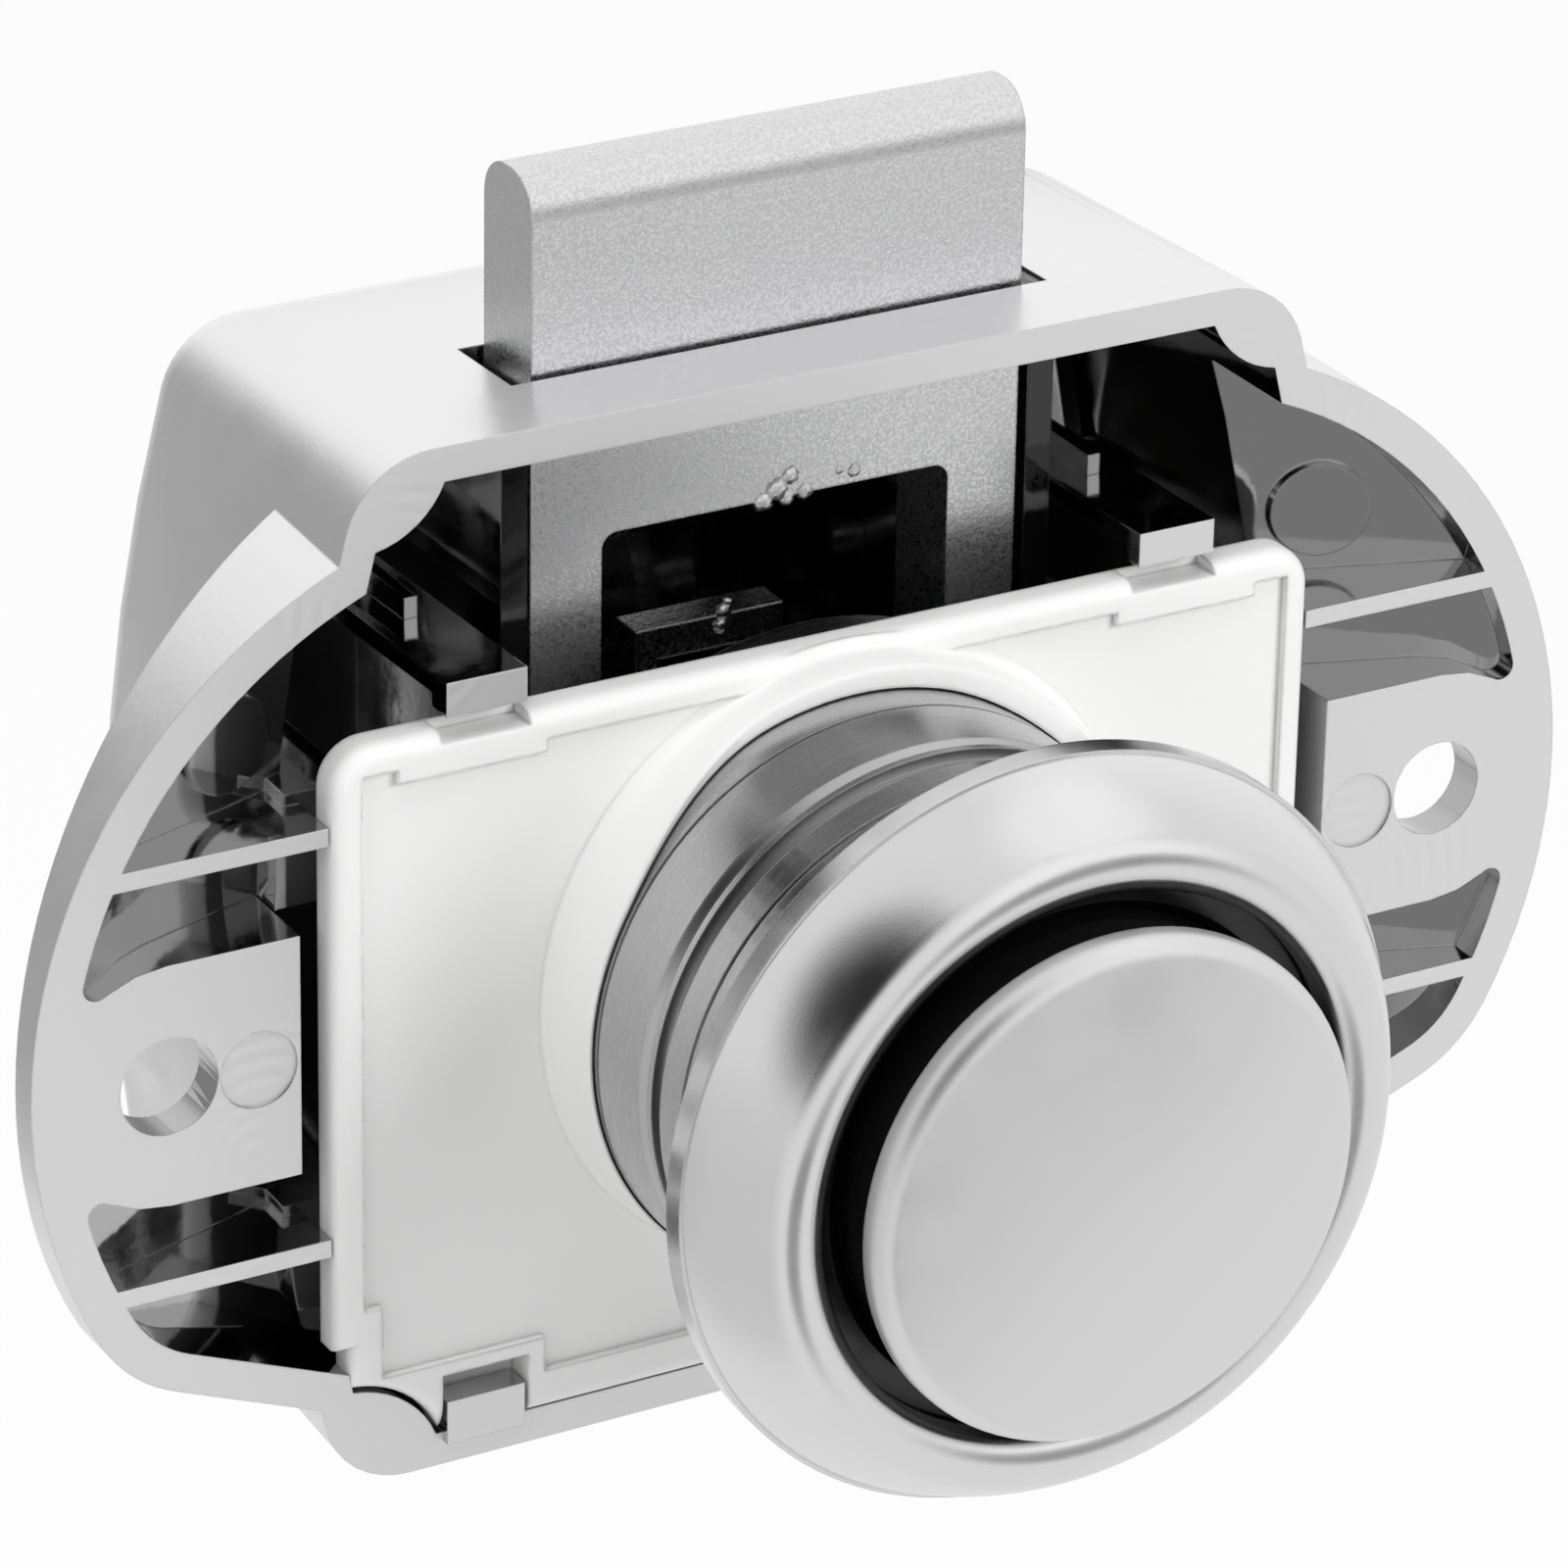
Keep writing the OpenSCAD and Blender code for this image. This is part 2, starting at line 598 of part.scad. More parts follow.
// Side view of the driver, in y and z
module driver_side() polygon([
    [socket_front, -3.5], [socket_front, 3.5], [4, 3.5], [5, pin_z + 2.3], [bridge_y - 0.6, pin_z + 2.3],
    [bridge_y, pin_z + 3.2], [bridge_y, bridge_top], [bridge_y + bridge_th, bridge_top],
    [bridge_y + bridge_th + 1.4, bridge_top - 2.2], [driver_back, -1], [driver_back, slot_end_z - 2.6],
    [slot_end_y - 2.2, slot_end_z - 2.6], [bridge_y - 0.6, -3.5]]);

slot_end_y = bolt_mid + button_travel;
slot_end_z = pin_z - bolt_travel;
slot_start_y = bolt_mid - over_press;
slot_start_z = pin_z + over_press * ratio;
slot_r = pin_d / 2 + fit_gap;
driver_back = slot_end_y + slot_r + 0.35;

// Slanted slot that moves the drive pin up and down
module driver_slot() {
    len = norm([slot_end_y - slot_start_y, slot_end_z - slot_start_z]);
    along_x(-10, 10) translate([slot_start_y, slot_start_z]) rotate(atan2(slot_end_z - slot_start_z, slot_end_y - slot_start_y)) {
        circle(slot_r);
        translate([len, 0]) circle(slot_r);
        translate([0, -slot_r]) square([len, 2 * slot_r]);
    }
}

module driver() color("gainsboro") difference() {
    union() {
        along_x(-driver_w / 2, driver_w / 2) difference() {
            driver_side();
            translate([-10, -20]) square([10 + 5, 40]);
        }
        turned() translate([0, -5.2]) square([driver_w / 2, 5.2 - socket_front]);
    }
    turned() translate([0, -socket_back]) square([spigot_r + fit_gap, 30]);
    along_x(-driver_w / 2 + cheek, driver_w / 2 - cheek) polygon([
        [5.6, -12], [5.6, 3.2], [bridge_y - 1, pin_z + 1.4], [bridge_y - 1, bridge_top - 1.5],
        [30, bridge_top - 1.5], [30, -12]]);
    driver_slot();
    stem_pin_hole(0);
}

module drive_pin() color("gray") translate([-bolt_w / 2 + 0.3, bolt_mid, pin_z]) rotate([0, 90, 0])
    cylinder(d = pin_d, h = bolt_w - 0.6);

// Bolt: plate with a window, rounded at the end that leaves the casing
module bolt_plate() difference() {
    along_x(-bolt_w / 2, bolt_w / 2) {
        translate([bolt_setback, -bolt_drop]) square([bolt_th, bolt_top + bolt_drop - bolt_nose_r]);
        translate([bolt_setback + bolt_nose_r, 0]) square([bolt_th - 2 * bolt_nose_r, bolt_top]);
        translate([bolt_setback + bolt_nose_r, bolt_top - bolt_nose_r]) circle(bolt_nose_r);
        translate([bolt_back - bolt_nose_r, bolt_top - bolt_nose_r]) circle(bolt_nose_r);
    }
    along_y(0, 20) offset(r = 0.7, $fn = 24) offset(delta = -0.7)
        translate([-window_w / 2, -window_drop]) square([window_w, window_top + window_drop]);
}

// Track in the bolt's back that the follower runs in, with the heart between its lanes
module heart_track() {
    depth = 1.1;
    back = bolt_back;
    difference() {
        along_y(back - depth, back + 1) translate([follower_x - track_w / 2, follower_top - over_press * ratio - 1])
            square([track_w + 1.1, bolt_travel + over_press * ratio + 2]);
        along_y(back - depth - 1, back + 1) translate([follower_x + track_w / 2 + 0.1, follower_top + 3.2]) {
            polygon([[0, 2.4], [0.35, 3.2], [0.7, 2.4], [0.7, 0], [0.35, 0.5], [0, 0]]);
        }
    }
}

track_w = wire_d + 0.2;
follower_x = window_w / 2 + 0.9;
follower_top = 3;
follower_y = bolt_back + 1.6;
follower_low = -11.6;

module bolt() color("silver") difference() {
    bolt_plate();
    heart_track();
    translate([-bolt_w / 2 - 1, bolt_mid, pin_z]) rotate([0, 90, 0]) cylinder(d = pin_d, h = bolt_w + 2);
}

// Staple of round wire: fixed in its boss below, with its upper end in the track
module follower_wire() color("gray") {
    translate([follower_x, follower_y, follower_low]) {
        cylinder(d = wire_d, h = follower_top - follower_low, $fn = 24);
        rotate([-90, 0, 0]) cylinder(d = wire_d, h = 2.4, $fn = 24);
        sphere(d = wire_d, $fn = 24);
    }
    translate([follower_x, follower_y, follower_top]) {
        rotate([90, 0, 0]) cylinder(d = wire_d, h = 1.6 + 0.8, $fn = 24);
        sphere(d = wire_d, $fn = 24);
    }
}

// Bent strip that keeps the follower in its track
module follower_spring() color("silver") {
    y = follower_y + wire_d / 2 + 0.02;
    along_x(follower_x - 1.2, follower_x + 1.2) polygon([
        [case_inner_back - 0.3, -8.6], [case_inner_back, -8.6], [case_inner_back, -3], [y + 0.3, 1.4],
        [y + 0.9, 2.6], [y + 0.6, 2.8], [y, 1.3], [case_inner_back - 0.3, -3.2]]);
}

// Coil of round wire, swept along its own turns
module coil(r, wire, turns, length) {
    sides = 8;
    per_turn = 14;
    rings = turns * per_turn;
    pts = [for (i = [0 : rings]) let (a = 360 * i / per_turn, h = length * i / rings)
        for (k = [0 : sides - 1]) let (b = 360 * k / sides, q = r + wire / 2 * cos(b))
            [q * cos(a), q * sin(a), h + wire / 2 * sin(b)]];
    faces = concat([[for (k = [0 : sides - 1]) k]],
        [for (i = [0 : rings - 1]) for (k = [0 : sides - 1]) let (n = (k + 1) % sides)
            [i * sides + k, (i + 1) * sides + k, (i + 1) * sides + n, i * sides + n]],
        [[for (k = [sides - 1 : -1 : 0]) rings * sides + k]]);
    polyhedron(pts, faces, convexity = 10);
}

module return_spring() color("darkgray") {
    room = cap_back - 1.6 + lip_front;
    rotate([90, 0, 0]) translate([0, 0, -lip_front + spring_wire / 2 + 0.05])
        coil(plunger_r - 1 - spring_wire / 2 - 0.25, spring_wire, spring_turns, room - spring_wire - 0.1);
}

casing();
cover_plate();
sleeve();
liner();
rosette();
button_cap();
plunger();
stem_pin();
driver();
drive_pin();
bolt();
return_spring();
follower_wire();
follower_spring();
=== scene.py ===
"""Looks of a pushbutton cabinet latch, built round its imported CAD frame."""

import json
import math
import bmesh
import bpy
from mathutils import Matrix, Vector
from mathutils import noise as mathutils_noise
from mathutils.bvhtree import BVHTree


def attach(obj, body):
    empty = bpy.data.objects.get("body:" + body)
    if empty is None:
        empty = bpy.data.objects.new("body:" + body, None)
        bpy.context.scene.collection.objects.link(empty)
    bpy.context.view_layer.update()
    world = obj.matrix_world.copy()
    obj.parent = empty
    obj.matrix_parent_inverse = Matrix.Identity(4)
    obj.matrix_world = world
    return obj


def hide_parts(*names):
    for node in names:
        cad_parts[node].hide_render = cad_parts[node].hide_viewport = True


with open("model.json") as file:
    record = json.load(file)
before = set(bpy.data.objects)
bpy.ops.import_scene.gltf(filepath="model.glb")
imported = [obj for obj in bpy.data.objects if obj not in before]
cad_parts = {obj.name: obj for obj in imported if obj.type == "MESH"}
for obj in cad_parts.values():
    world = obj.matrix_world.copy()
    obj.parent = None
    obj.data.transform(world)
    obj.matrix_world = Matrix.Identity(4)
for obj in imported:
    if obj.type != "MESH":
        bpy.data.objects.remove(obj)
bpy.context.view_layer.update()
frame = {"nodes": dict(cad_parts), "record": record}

MM = 0.001

# Where the photograph was taken from, in metres, and the way it looks
CAMERA_AT = Vector((-0.1517, -0.26159, 0.15191))
LOOK = Vector((0.448, 0.784, -0.430))
PICTURE_RIGHT = Vector((0.872, -0.489, 0.017))
LENS_PX = 8350.5
PICTURE_PX = 1600


# Node helpers

def new_material(name):
    """A material with an empty tree but for its shader and output."""
    material = bpy.data.materials.new(name)
    material.use_nodes = True
    tree = material.node_tree
    tree.nodes.clear()
    shader = tree.nodes.new("ShaderNodeBsdfPrincipled")
    output = tree.nodes.new("ShaderNodeOutputMaterial")
    tree.links.new(shader.outputs["BSDF"], output.inputs["Surface"])
    return material, tree, shader


def math_node(tree, operation, a, b=None):
    """A Math node whose inputs are numbers or sockets."""
    node = tree.nodes.new("ShaderNodeMath")
    node.operation = operation
    for socket, value in zip(node.inputs, (a, b)):
        if value is None:
            continue
        if isinstance(value, (int, float)):
            socket.default_value = value
        else:
            tree.links.new(value, socket)
    return node.outputs[0]


def place(tree):
    """Object coordinates in millimetres, whole and split."""
    coords = tree.nodes.new("ShaderNodeTexCoord")
    scale = tree.nodes.new("ShaderNodeVectorMath")
    scale.operation = "SCALE"
    scale.inputs["Scale"].default_value = 1000
    tree.links.new(coords.outputs["Object"], scale.inputs[0])
    split = tree.nodes.new("ShaderNodeSeparateXYZ")
    tree.links.new(scale.outputs["Vector"], split.inputs[0])
    return scale.outputs["Vector"], split.outputs


def noise(tree, vector, scale, detail=3, roughness=0.55):
    """Smooth noise, with scale in waves per millimetre."""
    node = tree.nodes.new("ShaderNodeTexNoise")
    node.inputs["Scale"].default_value = scale
    node.inputs["Detail"].default_value = detail
    node.inputs["Roughness"].default_value = roughness
    tree.links.new(vector, node.inputs["Vector"])
    return node.outputs["Fac"]


def ramp(tree, value, low, high, start, end):
    """The value eased from start..end to low..high."""
    node = tree.nodes.new("ShaderNodeMapRange")
    node.interpolation_type = "SMOOTHSTEP"
    node.inputs["From Min"].default_value = start
    node.inputs["From Max"].default_value = end
    node.inputs["To Min"].default_value = low
    node.inputs["To Max"].default_value = high
    tree.links.new(value, node.inputs["Value"])
    return node.outputs["Result"]


def mix_colour(tree, fac, a, b):
    """Colour a where fac is 0 and colour b where it is 1."""
    node = tree.nodes.new("ShaderNodeMix")
    node.data_type = "RGBA"
    tree.links.new(fac, node.inputs["Factor"])
    node.inputs["A"].default_value = a + (1.0,)
    node.inputs["B"].default_value = b + (1.0,)
    return node.outputs["Result"]


def bump(tree, height, distance, normal=None):
    """The normal with a relief of this height, distance in metres."""
    node = tree.nodes.new("ShaderNodeBump")
    node.inputs["Strength"].default_value = 1.0
    node.inputs["Distance"].default_value = distance
    tree.links.new(height, node.inputs["Height"])
    if normal is not None:
        tree.links.new(normal, node.inputs["Normal"])
    return node.outputs["Normal"]


def rounded_edges(tree, radius):
    """A normal that rounds the edges by this radius in metres."""
    node = tree.nodes.new("ShaderNodeBevel")
    node.samples = 3
    node.inputs["Radius"].default_value = radius
    return node.outputs["Normal"]


# Materials

def grain(tree, vector, size, depth, normal=None):
    """Fine cast or blasted grain; size and depth in millimetres."""
    return bump(tree, noise(tree, vector, 1 / size, 2, 0.6), depth * MM, normal)


def satin_metal(name, rough, size, depth, colour=(0.8, 0.8, 0.805)):
    """Satin nickel over a fine blasted surface; size and depth of the grain in millimetres."""
    material, tree, shader = new_material(name)
    vector, _ = place(tree)
    cloud = noise(tree, vector, 0.3, 2)
    pale = tuple(min(1.0, c + 0.02) for c in colour)
    patches = ramp(tree, cloud, 0, 1, 0.3, 0.7)
    tree.links.new(mix_colour(tree, patches, colour, pale), shader.inputs["Base Color"])
    shader.inputs["Metallic"].default_value = 1.0
    tree.links.new(ramp(tree, cloud, rough - 0.03, rough + 0.03, 0.3, 0.7), shader.inputs["Roughness"])
    tree.links.new(grain(tree, vector, size, depth, rounded_edges(tree, 0.12 * MM)),
                   shader.inputs["Normal"])
    return material


def painted_shade_mirror(name, shade):
    """Nickel inside the casting, smooth as a mirror, with a few flow lines, its base colour darkened to the
    given shade as painted shade of the inside.
    """
    material, tree, shader = new_material(name)
    vector, _ = place(tree)
    shader.inputs["Base Color"].default_value = (shade, shade, shade, 1.0)
    shader.inputs["Metallic"].default_value = 1.0
    flow = noise(tree, vector, 0.5, 3)
    tree.links.new(ramp(tree, flow, 0.05, 0.11, 0.35, 0.7), shader.inputs["Roughness"])
    waves = bump(tree, flow, 0.012 * MM, rounded_edges(tree, 0.12 * MM))
    tree.links.new(waves, shader.inputs["Normal"])
    return material


# The fly cutter's arcs: their centres x and z and their reach in millimetres, and radians per millimetre
CUTTER_ARCS = ((-26.0, -3.0, 7.0), (26.0, -3.0, 7.0), (-20.0, 20.0, 6.0), (20.0, 20.0, 6.0))
CUTTER_FEED = 7.5


def cast_rim(name):
    """The casing's front faces: flat castings with the arcs that a fly cutter left."""
    material, tree, shader = new_material(name)
    vector, _ = place(tree)
    shader.inputs["Base Color"].default_value = (0.84, 0.84, 0.845, 1.0)
    shader.inputs["Metallic"].default_value = 0.8
    shader.inputs["Roughness"].default_value = 0.5
    normal = rounded_edges(tree, 0.12 * MM)
    for x, z, radius in CUTTER_ARCS:
        centre = tree.nodes.new("ShaderNodeVectorMath")
        centre.operation = "DISTANCE"
        centre.inputs[1].default_value = (x, 0, z)
        tree.links.new(vector, centre.inputs[0])
        ripple = math_node(tree, "SINE", math_node(tree, "MULTIPLY", centre.outputs["Value"], CUTTER_FEED))
        near = ramp(tree, centre.outputs["Value"], 1, 0, radius - 2, radius + 1)
        patchy = ramp(tree, noise(tree, vector, 0.35, 2), 0, 1, 0.42, 0.62)
        height = math_node(tree, "MULTIPLY", math_node(tree, "MULTIPLY", ripple, near), patchy)
        normal = bump(tree, height, 0.012 * MM, normal)
    tree.links.new(grain(tree, vector, 0.35, 0.008, normal), shader.inputs["Normal"])
    return material


def sparkling_cast(name, rough):
    """Nickel over a coarse casting, whose grains catch the light one by one."""
    material, tree, shader = new_material(name)
    vector, _ = place(tree)
    speckle = noise(tree, vector, 6.5, 2, 0.7)
    colour = (0.8, 0.8, 0.81)
    dull = tuple(c * 0.9 for c in colour)
    grains = ramp(tree, speckle, 0, 1, 0.36, 0.6)
    tree.links.new(mix_colour(tree, grains, dull, colour), shader.inputs["Base Color"])
    shader.inputs["Metallic"].default_value = 1.0
    tree.links.new(ramp(tree, speckle, rough + 0.08, rough - 0.08, 0.4, 0.62), shader.inputs["Roughness"])
    normal = grain(tree, vector, 0.35, 0.012, rounded_edges(tree, 0.15 * MM))
    tree.links.new(grain(tree, vector, 0.14, 0.014, normal), shader.inputs["Normal"])
    return material


def turned_metal(name, rough):
    """Lathe-turned nickel, with fine lines round the button's axis."""
    material, tree, shader = new_material(name)
    vector, axes = place(tree)
    shader.inputs["Base Color"].default_value = (0.54, 0.54, 0.545, 1.0)
    shader.inputs["Metallic"].default_value = 1.0
    across = tree.nodes.new("ShaderNodeCombineXYZ")
    tree.links.new(axes["Y"], across.inputs["Y"])
    lines = noise(tree, across.outputs["Vector"], 6.0, 3)
    tree.links.new(ramp(tree, lines, rough - 0.02, rough + 0.03, 0.35, 0.65), shader.inputs["Roughness"])
    tree.links.new(bump(tree, lines, 0.0012 * MM, rounded_edges(tree, 0.1 * MM)),
                   shader.inputs["Normal"])
    return material


def moulded_white(name):
    """White moulded plastic with a faint gloss and soft edges."""
    material, tree, shader = new_material(name)
    vector, _ = place(tree)
    cloud = noise(tree, vector, 0.12, 2)
    tree.links.new(mix_colour(tree, cloud, (0.82, 0.82, 0.815), (0.83, 0.83, 0.825)),
                   shader.inputs["Base Color"])
    tree.links.new(ramp(tree, cloud, 0.3, 0.36, 0.3, 0.7), shader.inputs["Roughness"])
    shader.inputs["Subsurface Weight"].default_value = 0.15
    shader.inputs["Subsurface Radius"].default_value = (0.6 * MM, 0.6 * MM, 0.6 * MM)
    tree.links.new(grain(tree, vector, 0.5, 0.0015, rounded_edges(tree, 0.25 * MM)),
                   shader.inputs["Normal"])
    return material


def black_plastic(name):
    """Black moulded plastic, glossy where it slides."""
    material, tree, shader = new_material(name)
    vector, _ = place(tree)
    shader.inputs["Base Color"].default_value = (0.006, 0.006, 0.006, 1.0)
    tree.links.new(ramp(tree, noise(tree, vector, 0.8, 3), 0.2, 0.3, 0.3, 0.7), shader.inputs["Roughness"])
    tree.links.new(grain(tree, vector, 0.6, 0.004), shader.inputs["Normal"])
    return material


def drawn_steel(name):
    """Drawn spring steel, slightly duller in patches."""
    material, tree, shader = new_material(name)
    vector, _ = place(tree)
    shader.inputs["Base Color"].default_value = (0.55, 0.55, 0.56, 1.0)
    shader.inputs["Metallic"].default_value = 1.0
    tree.links.new(ramp(tree, noise(tree, vector, 3.0, 3), 0.18, 0.3, 0.3, 0.7), shader.inputs["Roughness"])
    tree.links.new(grain(tree, vector, 0.4, 0.002), shader.inputs["Normal"])
    return material


SATIN_CASING = satin_metal("satin_casing", 0.3, 0.22, 0.008, (0.88, 0.88, 0.885))
CAST_RIM = cast_rim("cast_rim")
# Painted shade: the casing's inside is the same nickel as outside, darkened to 0.5 to stand in for its
# shade
INSIDE_PAINTED_SHADE = painted_shade_mirror("painted_shade_mirror", 0.5)
# Painted shadow: the guides' front faces are the same nickel, darkened to 0.06 to stand in for the shadow
# on them
SHADED_INSIDE = painted_shade_mirror("shaded_inside", 0.06)
TURNED_SLEEVE = turned_metal("turned_sleeve", 0.27)
MATERIALS = {
    "casing": SATIN_CASING,
    "cover_plate": moulded_white("white_moulding"),
    "sleeve": TURNED_SLEEVE,
    "rosette": satin_metal("satin_rosette", 0.2, 0.12, 0.002),
    "button_cap": satin_metal("satin_button", 0.42, 0.12, 0.003, (0.84, 0.84, 0.845)),
    "bolt": sparkling_cast("cast_bolt", 0.32),
    "driver": sparkling_cast("cast_driver", 0.2),
    "liner": black_plastic("black_liner"),
    "plunger": black_plastic("black_plunger"),
    "steel": drawn_steel("drawn_steel"),
}
SLOT_OF = {part["node"]: part["material_slot"] for part in frame["record"]["subparts"]}


def finish_with(piece, *finishes):
    """Give the piece these materials in place of its own."""
    piece.data.materials.clear()
    for finish in finishes:
        piece.data.materials.append(finish)


for node_name, node in frame["nodes"].items():
    finish_with(node, MATERIALS[SLOT_OF[node_name]])


# The casing, copied so that its outside, its rim and its inside each get their finish; the inside gets a
# darker base colour, painted shade where the casing hides the sky

def merged_copy(node, name):
    """A CAD node's mesh as one surface, in a new object."""
    mesh = frame["nodes"][node].data.copy()
    mesh.name = name
    file_normals = mesh.attributes.get("custom_normal")
    if file_normals:
        mesh.attributes.remove(file_normals)
    piece = bpy.data.objects.new(name, mesh)
    bpy.context.collection.objects.link(piece)
    made = bmesh.new()
    made.from_mesh(mesh)
    bmesh.ops.remove_doubles(made, verts=made.verts, dist=1e-6)
    for edge in made.edges:
        edge.smooth = len(edge.link_faces) == 2 and edge.calc_face_angle(0) < math.radians(28)
    for face in made.faces:
        face.smooth = True
    made.to_mesh(mesh)
    made.free()
    return piece


def open_sky(tree, at, normal):
    """Share of the directions behind and beside the casing that a face can see past it."""
    seen = tried = 0
    for tilt in (0, 30, 60, 85):
        for turn in range(0, 360, 30):
            flat = math.cos(math.radians(tilt))
            way = Vector((flat * math.cos(math.radians(turn)), math.sin(math.radians(tilt)),
                          flat * math.sin(math.radians(turn))))
            if way.dot(normal) > 0.2:
                tried += 1
                seen += tree.ray_cast(at + normal * 2e-5, way)[0] is None
    return seen / tried if tried else 0


casing_skin = merged_copy("casing", "casing_skin")
finish_with(casing_skin, SATIN_CASING, CAST_RIM, INSIDE_PAINTED_SHADE, SHADED_INSIDE)
OUTSIDE, FRONT_FACES, INSIDE, IN_SHADE = range(4)
FRONT_RIM_DEPTH, GUIDE_X, GUIDE_DEPTH, LUG_WALL_X = 0.9, (11.4, 12.9), 12, 24.2
casing_tree = BVHTree.FromPolygons([vert.co for vert in casing_skin.data.vertices],
                                   [tuple(face.vertices) for face in casing_skin.data.polygons])
# Faces that see little open sky past the casing get the darker inside finish, as painted shade
for face in casing_skin.data.polygons:
    at = face.center / MM
    faces_front = face.normal.y < -0.9
    if faces_front and at.y < FRONT_RIM_DEPTH:
        face.material_index = FRONT_FACES
    elif open_sky(casing_tree, face.center, face.normal) > 0.6:
        face.material_index = OUTSIDE
    # Painted shadow: the guides' front faces get the near-black finish
    elif faces_front and GUIDE_X[0] < abs(at.x) < GUIDE_X[1] and at.y < GUIDE_DEPTH:
        face.material_index = IN_SHADE
    elif abs(abs(at.x) - LUG_WALL_X) < 0.12 and abs(at.z) < 9 and at.y < 14:
        face.material_index = FRONT_FACES
    else:
        face.material_index = INSIDE
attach(casing_skin, "frame")
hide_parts("casing")

# The button's domed cap, one surface, so that its crown shades evenly
domed_cap = merged_copy("button_cap", "domed_cap")
finish_with(domed_cap, MATERIALS["button_cap"])
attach(domed_cap, "button")
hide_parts("button_cap")


# The cover plate, with its collar as the moulding has it: thin, and lower where the plate ends

def arc(centre, radius, start, end, steps):
    """Points (x, z) along an arc, with its angles in degrees."""
    return [(centre[0] + radius * math.cos(math.radians(start + (end - start) * i / steps)),
             centre[1] + radius * math.sin(math.radians(start + (end - start) * i / steps)))
            for i in range(steps + 1)]


PLATE_HALF_W, PLATE_TOP = 22.85, 14.25
PLATE_FRONT, PLATE_BACK, PLATE_EDGE = -0.4, 1.2, 0.75


def plate_outline(inset):
    """The plate's outline moved in, in millimetres, once round."""
    right, top, corner, step = PLATE_HALF_W, PLATE_TOP, 1.9, -12.8
    swell, hollow, foot, low = (22.5, -19.5), 4.85 + inset, right - 0.7 - inset, -17.8 + inset
    half = arc((right - corner, top - corner), corner - inset, 90, 0, 8)
    half += [(right - inset, step + inset), (foot, step + inset)]
    half += arc(swell, hollow, math.degrees(math.acos((foot - swell[0]) / hollow)),
                180 - math.degrees(math.asin((low - swell[1]) / hollow)), 10)
    return half + [(-x, z) for x, z in reversed(half)]


def lofted(name, rings, closed=True):
    """A closed mesh through rings of points, each ring a list of (x, y, z) in millimetres."""
    made = bmesh.new()
    rows = [[made.verts.new(Vector(point) * MM) for point in ring] for ring in rings]
    count = len(rows[0])
    pairs = list(zip(rows, rows[1:]))
    if not closed:
        pairs.append((rows[-1], rows[0]))
    for low, high in pairs:
        for i in range(count):
            made.faces.new((low[i], low[(i + 1) % count], high[(i + 1) % count], high[i]))
    if closed:
        made.faces.new(rows[0])
        made.faces.new(rows[-1])
    bmesh.ops.recalc_face_normals(made, faces=made.faces)
    mesh = bpy.data.meshes.new(name)
    made.to_mesh(mesh)
    made.free()
    piece = bpy.data.objects.new(name, mesh)
    bpy.context.collection.objects.link(piece)
    return piece


def cut(piece, tool):
    """Take the tool's solid away from the piece."""
    modifier = piece.modifiers.new("cut", "BOOLEAN")
    modifier.operation, modifier.solver, modifier.object = "DIFFERENCE", "EXACT", tool
    bpy.context.view_layer.update()
    mesh = bpy.data.meshes.new_from_object(piece.evaluated_get(bpy.context.evaluated_depsgraph_get()))
    piece.modifiers.remove(modifier)
    piece.data = mesh
    bpy.data.objects.remove(tool)


def prism(name, outline, y0, y1):
    """A straight solid from y0 back to y1, in millimetres."""
    return lofted(name, [[(x, y, z) for x, z in outline] for y in (y0, y1)])


plate = lofted("cover_plate_moulding", [
    [(x, PLATE_FRONT + PLATE_EDGE * (1 - math.sin(turn)), z)
     for x, z in plate_outline(PLATE_EDGE * (1 - math.cos(turn)))]
    for turn in (math.radians(90 - 15 * i) for i in range(7))]
    + [[(x, PLATE_BACK, z) for x, z in plate_outline(0)]])
side, top, low = 21.6, 13.05, -15.9
panel_half = [(13.3, top), (13.3, top - 0.6), (20.0, top - 0.6), (20.0, top), (side, top),
              (side, -11.0), (side - 0.8, -11.0), (side - 0.8, low + 1.6), (13.3, low + 1.6), (13.3, low)]
cut(plate, prism("panel", panel_half + [(-x, z) for x, z in reversed(panel_half)], -2, -0.05))
cut(plate, prism("bore", arc((0, 0), 12.9, 0, 350, 71), -3, 3))
for side_sign in (1, -1):
    for z0, z1 in ((13.75, 20), (-21, -14.9)):
        near, far = 14.05 * side_sign, 18.05 * side_sign
        cut(plate, prism("notch", [(near, z0), (far, z0), (far, z1), (near, z1)], -2, 1.1))

COLLAR_AT, COLLAR_R, COLLAR_STEPS = (0.45, 0.45), 13.4, 144


def collar_height(turn):
    """The collar stands 3.1 mm over the plate, and 1.6 mm towards the plate's top edge."""
    away = abs(math.degrees(turn) - 90)
    rise = min(1.0, max(0.0, (min(away, 360 - away) - 18) / 45))
    return 1.65 + 1.45 * rise * rise * (3 - 2 * rise)


def collar_ring(out, height):
    """One ring round the collar: out is added to its radius, height runs from 0 to 1."""
    ring = []
    for i in range(COLLAR_STEPS):
        turn = math.tau * i / COLLAR_STEPS
        x = COLLAR_AT[0] + (COLLAR_R + out) * math.cos(turn)
        z = COLLAR_AT[1] + (COLLAR_R + out) * math.sin(turn)
        reach = math.hypot(x, z)
        keep = max(reach, 12.96) / reach
        ring.append((x * keep, 0.1 - (collar_height(turn) + 0.5) * height, z * keep))
    return ring


def bore_ring(height):
    """One ring in the collar's bore; height runs from 0 to 1."""
    return [(12.88 * math.cos(a), 0.1 - (collar_height(a) + 0.5) * height, 12.88 * math.sin(a))
            for a in (math.tau * i / COLLAR_STEPS for i in range(COLLAR_STEPS))]


